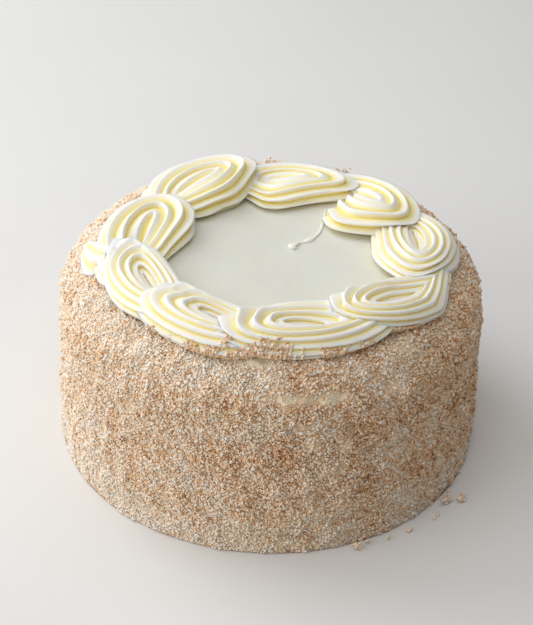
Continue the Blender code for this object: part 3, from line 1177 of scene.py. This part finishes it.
@dataclass(frozen=True)
class IcingThread:
    """The thread of icing that dribbled onto the top, and the blob where it ended."""

    route: tuple[Span, ...] = (
        (0.0262, 0.0375),
        (0.0250, 0.0270),
        (0.0232, 0.0165),
        (0.0185, 0.0085),
        (0.0125, 0.0050),
        (0.0085, 0.0000),
    )
    thickness: float = 0.00085
    blob: float = 0.0023
    flatness: float = 0.7
    raised: float = 0.35
    depth: float = 0.15
    steps: int = 160
    around: int = 18

    def path(self) -> Array:
        """Follow the route with a Catmull-Rom line, at even steps.

        Returns:
            Points of the XY plane, one row each.
        """
        knots = np.array(self.route)
        knots = np.concatenate([2 * knots[:1] - knots[1:2], knots, 2 * knots[-1:] - knots[-2:-1]])
        place = np.linspace(0.0, len(self.route) - 1 - 1e-6, self.steps)
        first = place.astype(int)
        t = (place - first)[:, None]
        a, b, c, d = (knots[first + k] for k in range(4))
        bend = (2 * a - 5 * b + 4 * c - d) * t**2 + (3 * b - a - 3 * c + d) * t**3
        return 0.5 * (2 * b + (c - a) * t + bend)

    def build(self, form: CakeForm, cream: Material) -> None:
        """Carry a low round section along the route; it wavers and ends in the round blob.

        Args:
            form: the cake that it lies on.
            cream: what it is dressed in.
        """
        path = self.path()
        share = np.linspace(0.0, 1.0, self.steps)
        waver = 1 + 0.3 * wavy(np.stack([share * 40, 0 * share, 0 * share], axis=1), 9.0, 41)
        from_end = np.linalg.norm(np.diff(path, axis=0), axis=1).sum() * (1 - share)
        ball = np.sqrt(np.clip(self.blob**2 - (from_end - self.blob) ** 2, 0.0, None))
        radius = np.where(from_end < self.blob, ball, np.hypot(self.thickness * waver, ball))[:, None]
        angle = whole_turn(self.around)
        lift = self.flatness * radius * np.sin(angle) + self.raised * np.minimum(radius, self.thickness)
        grid = np.dstack([beside(path, radius * np.cos(angle)), form.top_height + lift])
        faces = closed_faces(self.steps, self.around)
        values = {"depth": np.full(self.steps * self.around, self.depth)}
        piece = mesh_piece("icing_thread", grid, faces, cream, values)
        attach(piece, BODY)
        report(piece)


# ---- crumbs


@dataclass(frozen=True)
class BarePatch:
    """A place where the crumbs are thin and the icing shows: an oval on the outside."""

    angle: float
    run: float
    along: float
    down: float
    strength: float

    def cover(self, spots: Spots) -> Array:
        """How bare the oval makes each place: a bell over it.

        Args:
            spots: the places.

        Returns:
            A share for each place.
        """
        turn = (spots.angle - math.radians(self.angle) + math.pi) % TURN - math.pi
        across = turn * spots.form.wall_radius_high / self.along
        return self.strength * np.exp(-(across**2) - ((spots.run - self.run) / self.down) ** 2)


@dataclass(frozen=True)
class CoatMap:
    """Where the coat is thick, bare or toasted, and where painted light makes its crumbs paler."""

    patches: tuple[BarePatch, ...] = (
        BarePatch(267, 0.0115, 0.0120, 0.0035, 1.1),
        BarePatch(276, 0.0290, 0.0150, 0.0030, 0.9),
        BarePatch(288, 0.0300, 0.0110, 0.0030, 0.8),
        BarePatch(231, 0.0560, 0.0110, 0.0060, 0.45),
        BarePatch(312, 0.0200, 0.0100, 0.0040, 0.5),
    )
    thin_spots: float = 0.45
    thin_rarity: float = 1.1
    tone: float = 0.05
    clouds: float = 0.06
    # Painted light: paler crumbs at the foot for the bounce light there, on the shoulder for the top light,
    # and on the left side, where the key and side lights fall, for their sheen.
    painted_light_foot: float = 0.22
    painted_light_shoulder: float = 0.12
    painted_light_side: float = 0.20
    painted_light_side_angle: float = 195.0
    lumps: float = 0.00045
    small_lumps: float = 0.00025
    sunk: float = 0.0008
    back_sunk: float = 0.0022
    edge_run: float = 0.006

    def bare(self, spots: Spots) -> Array:
        """How bare each place is: the patches and a seeded scatter of thin spots.

        Args:
            spots: the places.

        Returns:
            A share from 0 to 1 for each place.
        """
        total = self.thin_spots * np.clip(wavy(spots.points, 0.012, 51) - self.thin_rarity, 0.0, 1.0)
        for patch in self.patches:
            total = total + patch.cover(spots)
        return np.clip(total, 0.0, 1.0)

    def tone_and_painted_light(self, spots: Spots) -> Array:
        """How much darker than usual the crumbs are: seeded clouds of tone, less painted light that makes
        the foot, the shoulder and the lit left side paler.

        Args:
            spots: the places.

        Returns:
            A change of tone for each place.
        """
        clouds = wavy(spots.points, 0.030, 52) + 0.6 * wavy(spots.points, 0.010, 53)
        foot = np.exp(-(((spots.form.run_length() - spots.run) / 0.020) ** 2))
        shoulder = np.exp(-(((spots.run - 0.016) / 0.014) ** 2))
        side = 0.5 + 0.5 * np.cos(spots.angle - math.radians(self.painted_light_side_angle))
        # painted light: paler at the foot, on the shoulder and on the lit left side
        pale = self.painted_light_foot * foot + self.painted_light_shoulder * shoulder + self.painted_light_side * side
        return self.clouds * clouds + self.tone - pale

    def swell(self, spots: Spots) -> Array:
        """How far the coat stands out: two sizes of seeded lumps, less a lower back shoulder.

        Args:
            spots: the places.

        Returns:
            A distance for each place.
        """
        back = 0.5 + 0.5 * np.sin(spots.angle)
        shoulder = np.exp(-(((spots.run - 0.017) / 0.011) ** 2))
        lumps = self.lumps * wavy(spots.points, 0.014, 62) + self.small_lumps * wavy(spots.points, 0.006, 63)
        out = lumps - self.sunk - self.back_sunk * back * shoulder
        return np.clip(spots.run / self.edge_run, 0.0, 1.0) * out


@dataclass(frozen=True)
class CrumbBed:
    """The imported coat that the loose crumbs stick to, all round the cake and closed below."""

    around: int = 720
    rows: int = 124
    first_run: float = 0.002
    grain: float = 0.00035
    tone: float = 0.44
    tone_spread: float = 0.20
    seed: int = 61

    def build(self, form: CakeForm, coat: CoatMap, material: Material) -> None:
        """Make the bed: the outline turned round the axis, pushed out by grains and low lumps.

        Args:
            form: the cake's outline.
            coat: where the coat is thick, bare or toasted, and where light is painted on.
            material: what it is dressed in.
        """
        rng = np.random.default_rng(self.seed)
        runs = np.linspace(self.first_run, form.run_length(), self.rows)
        run, angle = np.meshgrid(runs, whole_turn(self.around), indexing="ij")
        spots = form.spots(angle, run)
        grain = rng.uniform(-1.0, 1.0, run.shape)
        grain = 0.6 * grain + 0.2 * (np.roll(grain, 1, axis=1) + np.roll(grain, -1, axis=1))
        bare = coat.bare(spots)
        radius, height = spots.pushed(self.grain * grain * (1 - 0.85 * bare) + coat.swell(spots))
        radius[-1] = form.wall_radius_low
        height[-1] = 0.0
        seat = form.top_height - form.icing_thickness
        rim = round_axis(form.shoulder_start, angle[:1], seat)
        grid = np.concatenate([rim, round_axis(radius, angle, np.clip(height, 0.0, None))])
        points = np.concatenate([grid.reshape(-1, 3), [[0.0, 0.0, seat], [0.0, 0.0, 0.0]]])
        tone = self.tone + self.tone_spread * grain + coat.tone_and_painted_light(spots)
        values = {"tone": tone, "bare": bare}
        values = {key: np.pad(value.reshape(-1), (self.around, 2)) for key, value in values.items()}
        faces = capped_faces(self.rows + 1, self.around)
        piece = mesh_piece("crumb_bed", points, faces, material, values)
        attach(piece, BODY)
        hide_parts("cake_body")
        report(piece)


class CrumbGrade(Enum):
    """The kinds of crumb, by size and how far they are toasted."""

    DUST = "dust"
    PALE = "pale"
    STRAW = "straw"
    GOLDEN = "golden"
    TOASTED = "toasted"
    FLAKE = "flake"


@dataclass(frozen=True)
class CrumbKind:
    """How many crumbs of one grade there are, how large and toasted, and how far they stand out.

    lift is in shares of their own radius.
    """

    grade: CrumbGrade
    count: int
    radius: Span
    tone: Span
    lift: Span

    @property
    def piece_name(self) -> str:
        """Name of the piece that holds them."""
        return f"crumbs_{self.grade.value}"


def random_turns(rng: Random, count: int) -> Array:
    """Even random rotations, from unit quaternions.

    Args:
        rng: the draw.
        count: how many.

    Returns:
        A 3 by 3 matrix for each.
    """
    q = rng.normal(size=(count, 4))
    w, x, y, z = (q / np.linalg.norm(q, axis=1)[:, None]).T
    rows = [
        [1 - 2 * (y * y + z * z), 2 * (x * y - z * w), 2 * (x * z + y * w)],
        [2 * (x * y + z * w), 1 - 2 * (x * x + z * z), 2 * (y * z - x * w)],
        [2 * (x * z - y * w), 2 * (y * z + x * w), 1 - 2 * (x * x + y * y)],
    ]
    return np.moveaxis(np.array(rows), 2, 0)


@dataclass(frozen=True)
class CrumbShape:
    """The shape of a crumb: an octahedron, jittered, stretched and turned."""

    corner_jitter: float = 0.30
    stretch: Span = (0.80, 1.25)

    def corners(self, rng: Random, size: Array) -> Array:
        """Corners of the crumbs about their own centres.

        Args:
            rng: the draw.
            size: the radius of each crumb.

        Returns:
            Six points for each crumb.
        """
        count = len(size)
        octahedron = np.concatenate([np.eye(3), -np.eye(3)])[[0, 3, 1, 4, 2, 5]]
        corners = octahedron + self.corner_jitter * rng.uniform(-1.0, 1.0, (count, 6, 3))
        corners = corners * rng.uniform(*self.stretch, (count, 1, 3)) * size[:, None, None]
        return np.einsum("nij,nkj->nki", random_turns(rng, count), corners)

    def join(self, name: str, rng: Random, centre: Array, size: Array, tone: Array, crumb: Material) -> None:
        """Join crumbs of these centres, sizes and tones into one piece, cut off at the foot.

        Args:
            name: the piece's name.
            rng: what turns and jitters them.
            centre: one row for each crumb.
            size: its radius.
            tone: how far it is toasted.
            crumb: what the crumbs are dressed in.
        """
        points = centre[:, None, :] + self.corners(rng, size)
        points[:, :, 2] = np.clip(points[:, :, 2], 0.0, None)
        upper = np.array([[0, 2, 4], [2, 1, 4], [1, 3, 4], [3, 0, 4]])
        lower = np.array([[2, 0, 5], [1, 2, 5], [3, 1, 5], [0, 3, 5]])
        faces = np.concatenate([upper, lower]) + 6 * np.arange(len(size))[:, None, None]
        values = {"tone": np.repeat(np.clip(tone, 0.0, 1.0), 6)}
        piece = mesh_piece(name, points, faces.reshape(-1, 3), crumb, values)
        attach(piece, BODY)
        report(piece)


@dataclass(frozen=True)
class LooseCrumbs:
    """The loose crumbs stuck all over the coat, one piece for each grade."""

    kinds: tuple[CrumbKind, ...] = (
        CrumbKind(CrumbGrade.DUST, 24500, (0.00030, 0.00055), (0.06, 0.55), (0.1, 1.1)),
        CrumbKind(CrumbGrade.PALE, 24500, (0.00040, 0.00088), (0.10, 0.30), (0.0, 0.8)),
        CrumbKind(CrumbGrade.STRAW, 24500, (0.00040, 0.00092), (0.18, 0.40), (0.0, 0.8)),
        CrumbKind(CrumbGrade.GOLDEN, 24500, (0.00040, 0.00096), (0.32, 0.60), (0.0, 0.8)),
        CrumbKind(CrumbGrade.FLAKE, 2600, (0.00060, 0.00115), (-0.20, -0.05), (0.3, 0.9)),
        CrumbKind(CrumbGrade.TOASTED, 9500, (0.00040, 0.00090), (0.60, 0.98), (0.2, 0.8)),
    )
    shape: CrumbShape = CrumbShape()
    first_run: float = 0.0010
    bare_loss: float = 0.93
    keep: float = 0.75
    seed: int = 71

    def draw(self, rng: Random, count: int, form: CakeForm, coat: CoatMap) -> Spots:
        """Draw places: even over the surface, but few where the coat is bare.

        Args:
            rng: the draw.
            count: how many places, at most.
            form: the cake's outline.
            coat: where the coat is bare.

        Returns:
            The places.
        """
        draws = 3 * count
        angle = rng.uniform(0.0, TURN, draws)
        run = rng.uniform(self.first_run, form.run_length(), draws)
        spots = form.spots(angle, run)
        share = (1 - self.bare_loss * coat.bare(spots)) * spots.radius / form.wall_radius_low
        chosen = np.flatnonzero(rng.uniform(size=draws) < self.keep * share)[:count]
        return form.spots(angle[chosen], run[chosen])

    def build(self, form: CakeForm, coat: CoatMap, crumb: Material) -> None:
        """Scatter each kind over the coat and join it into one mesh.

        Args:
            form: the cake's outline.
            coat: where the coat is thick, bare or toasted, and where light is painted on.
            crumb: what the crumbs are dressed in.
        """
        for index, kind in enumerate(self.kinds):
            rng = np.random.default_rng(self.seed + index)
            spots = self.draw(rng, kind.count, form, coat)
            size = rng.uniform(*kind.radius, len(spots.run))
            lift = size * rng.uniform(*kind.lift, len(size)) + coat.swell(spots)
            radius, height = spots.pushed(lift)
            centre = round_axis(radius, spots.angle, np.maximum(height, size))
            tone = rng.uniform(*kind.tone, len(size)) + coat.tone_and_painted_light(spots)
            self.shape.join(kind.piece_name, rng, centre, size, tone, crumb)


@dataclass(frozen=True)
class Clump:
    """A small clump of crumbs: its angle in degrees, radius, height and spread, and their number."""

    angle: float
    radius: float
    height: float
    spread: float
    count: int

    def centres(self, rng: Random) -> Array:
        """Scatter the crumbs about the clump's middle, a little flatter than round.

        Args:
            rng: the draw.

        Returns:
            One row for each crumb.
        """
        angle = math.radians(self.angle)
        around = rng.normal(0.0, self.spread, (self.count, 3)) * (1.0, 1.0, 0.6)
        return around + (self.radius * math.cos(angle), self.radius * math.sin(angle), self.height)


@dataclass(frozen=True)
class PiledCrumbs:
    """Crumbs heaped against the outer edge of the piping, and small clumps elsewhere."""

    shape: CrumbShape = CrumbShape()
    count: int = 7000
    size: Span = (0.00050, 0.00110)
    tone: Span = (0.10, 0.70)
    clump_tone: float = 0.6
    heap_angle: float = 272.0
    heap_spread: float = 27.0
    heap_height: float = 0.0065
    edge_height: float = 0.0030
    clumps: tuple[Clump, ...] = (
        Clump(92.7, 0.0800, 0.1050, 0.0012, 14),
        Clump(63.0, 0.0800, 0.1050, 0.0014, 18),
        Clump(324.3, 0.1104, 0.0022, 0.0013, 40),
        Clump(327.0, 0.1157, 0.0012, 0.0010, 26),
        Clump(294.2, 0.1098, 0.0014, 0.0010, 28),
        Clump(297.3, 0.1082, 0.0006, 0.0006, 8),
        Clump(302.6, 0.1103, 0.0003, 0.0005, 4),
        Clump(308.9, 0.1114, 0.0003, 0.0005, 4),
        Clump(318.9, 0.1125, 0.0002, 0.0003, 2),
        Clump(316.9, 0.1133, 0.0002, 0.0003, 2),
    )
    seed: int = 91

    def on_piping(self, rng: Random, places: Array, form: CakeForm) -> Array:
        """Draw places on the piping's outer edge, likelier the lower they are in the heap.

        Args:
            rng: the draw.
            places: points of the piping's outer edge.
            form: the cake's outline.

        Returns:
            One row for each crumb.
        """
        angle = np.degrees(np.arctan2(places[:, 1], places[:, 0])) % 360
        radius = np.hypot(places[:, 0], places[:, 1])
        above = places[:, 2] - form.crown_height(radius)
        away = (angle - self.heap_angle) / self.heap_spread
        edge = self.edge_height * (0.6 + 0.4 * wavy(places, 0.012, 92))
        limit = np.clip(edge + self.heap_height * np.exp(-(away**2)), 1e-4, None)
        outside = np.clip((radius - 0.080) / 0.004, 0.0, 1.0)
        weight = outside * np.clip(1 - above / limit, 0.0, 1.0)
        return places[rng.choice(len(places), self.count, p=weight / weight.sum())]

    def build(self, places: Array, form: CakeForm, crumb: Material) -> None:
        """Make the heap and the clumps as one piece.

        Args:
            places: points of the piping's outer edge.
            form: the cake's outline.
            crumb: what the crumbs are dressed in.
        """
        rng = np.random.default_rng(self.seed)
        heap = self.on_piping(rng, places, form)
        centre = np.concatenate([heap, *(clump.centres(rng) for clump in self.clumps)])
        size = rng.uniform(*self.size, len(centre))
        centre[:, 2] = np.maximum(centre[:, 2] + 0.4 * size, 0.5 * size)
        tone = rng.uniform(*self.tone, len(centre))
        tone[self.count :] *= self.clump_tone
        self.shape.join("crumbs_piled", rng, centre, size, tone, crumb)


# ---- the studio


@dataclass(frozen=True)
class SoftLight:
    """One large soft light that faces the cake."""

    name: str
    place: Triple
    size: float
    power: float
    color: Color

    def hang(self, target: Vector) -> None:
        """Make the light and turn it to the target.

        Args:
            target: where it points.
        """
        lamp = bpy.data.lights.new(self.name, "AREA")
        lamp.shape = "DISK"
        lamp.size = self.size
        lamp.energy = self.power
        lamp.color = self.color
        obj = bpy.data.objects.new(self.name, lamp)
        obj.location = self.place
        obj.rotation_euler = (target - Vector(self.place)).to_track_quat("-Z", "Y").to_euler()
        bpy.context.scene.collection.objects.link(obj)


@dataclass(frozen=True)
class Studio:
    """A plain pale floor, soft lights and the camera."""

    lights: tuple[SoftLight, ...] = (
        SoftLight("key_light", (-0.95, 0.60, 0.80), 1.2, 11.0, (0.97, 0.985, 1.0)),
        SoftLight("side_light", (-1.20, -0.55, 0.45), 1.1, 8.0, (1.0, 0.99, 0.98)),
        SoftLight("front_fill", (-0.32, -0.92, 1.30), 1.4, 4.4, (1.0, 0.985, 0.97)),
        SoftLight("top_light", (0.00, 0.10, 1.45), 1.8, 9.0, (0.98, 0.99, 1.0)),
    )
    light_target: Triple = (0.0, 0.0, 0.06)
    world_color: Color = (0.68, 0.62, 0.57)
    world_strength: float = 0.20
    floor_half: float = 3.0
    floor_steps: int = 24
    elevation: float = math.radians(35.41)
    roll: float = math.radians(1.81)
    distance: float = 0.97865
    target: Triple = (-0.00205, 0.02155, 0.0500)
    focal_pixels: float = 1901.0
    frame_height_pixels: float = 625.0
    sensor_height_mm: float = 36.0

    def lay_floor(self) -> None:
        """Lay a broad floor just under the cake, level near it, with a faint seeded unevenness."""
        line = np.linspace(-self.floor_half, self.floor_half, self.floor_steps)
        x, y = np.meshgrid(line, line)
        points = np.dstack([x, y, np.zeros_like(x)])
        uneven = 0.2 * MM * wavy(points, 1.0, 81)
        points[:, :, 2] = np.where(np.hypot(x, y) < 0.5, 0.0, uneven) - 0.3 * MM
        corner = np.arange(self.floor_steps**2).reshape(x.shape)
        first = np.dstack([corner[:-1, :-1], corner[:-1, 1:], corner[1:, 1:]])
        second = np.dstack([corner[:-1, :-1], corner[1:, 1:], corner[1:, :-1]])
        faces = np.concatenate([first, second]).reshape(-1, 3)
        mesh_piece("studio_floor", points, faces, FloorFinish().dress())

    def light(self) -> None:
        """Hang the lights and set the soft surrounding glow."""
        for lamp in self.lights:
            lamp.hang(Vector(self.light_target))
        world = bpy.data.worlds.new("studio_air")
        world.use_nodes = True
        glow = world.node_tree.nodes["Background"]
        glow.inputs["Color"].default_value = (*self.world_color, 1.0)
        glow.inputs["Strength"].default_value = self.world_strength
        bpy.context.scene.world = world

    def place_camera(self) -> None:
        """Set the camera where the photograph was taken from."""
        back = Vector((0.0, -math.cos(self.elevation), math.sin(self.elevation)))
        upright = Vector((0.0, math.sin(self.elevation), math.cos(self.elevation)))
        side = Vector((1.0, 0.0, 0.0))
        right = side * math.cos(self.roll) + upright * math.sin(self.roll)
        up = upright * math.cos(self.roll) - side * math.sin(self.roll)
        turn = Matrix((right, up, back)).transposed().to_4x4()
        lens = bpy.data.cameras.new("photo_camera")
        lens.sensor_fit = "VERTICAL"
        lens.sensor_height = self.sensor_height_mm
        lens.lens = self.focal_pixels * self.sensor_height_mm / self.frame_height_pixels
        camera = bpy.data.objects.new("photo_camera", lens)
        camera.matrix_world = Matrix.Translation(Vector(self.target) + back * self.distance) @ turn
        bpy.context.scene.collection.objects.link(camera)
        bpy.context.scene.camera = camera

    def build(self) -> None:
        """Set up floor, lights, camera and plain colour handling."""
        self.lay_floor()
        self.light()
        self.place_camera()
        bpy.context.scene.view_settings.view_transform = "Standard"


def main() -> None:
    """Load the frame, build every piece round it, then light it."""
    logging.basicConfig(level=logging.INFO, format="%(message)s")
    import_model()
    effects = Effects()
    crumb = CRUMB.dress(effects)
    cream = PIPED.dress(effects)
    form = CakeForm.from_frame()
    coat = CoatMap()
    ring = ScrollRing()
    CrumbBed().build(form, coat, COAT.dress(effects))
    LooseCrumbs().build(form, coat, crumb)
    PiledCrumbs().build(ring.edge_places(form), form, crumb)
    IcedTop().build(form, SPREAD.dress(effects))
    IcingThread().build(form, cream)
    ring.build(form, cream)
    PipedEnd().build(form, cream)
    Studio().build()


if __name__ == "__main__":
    main()
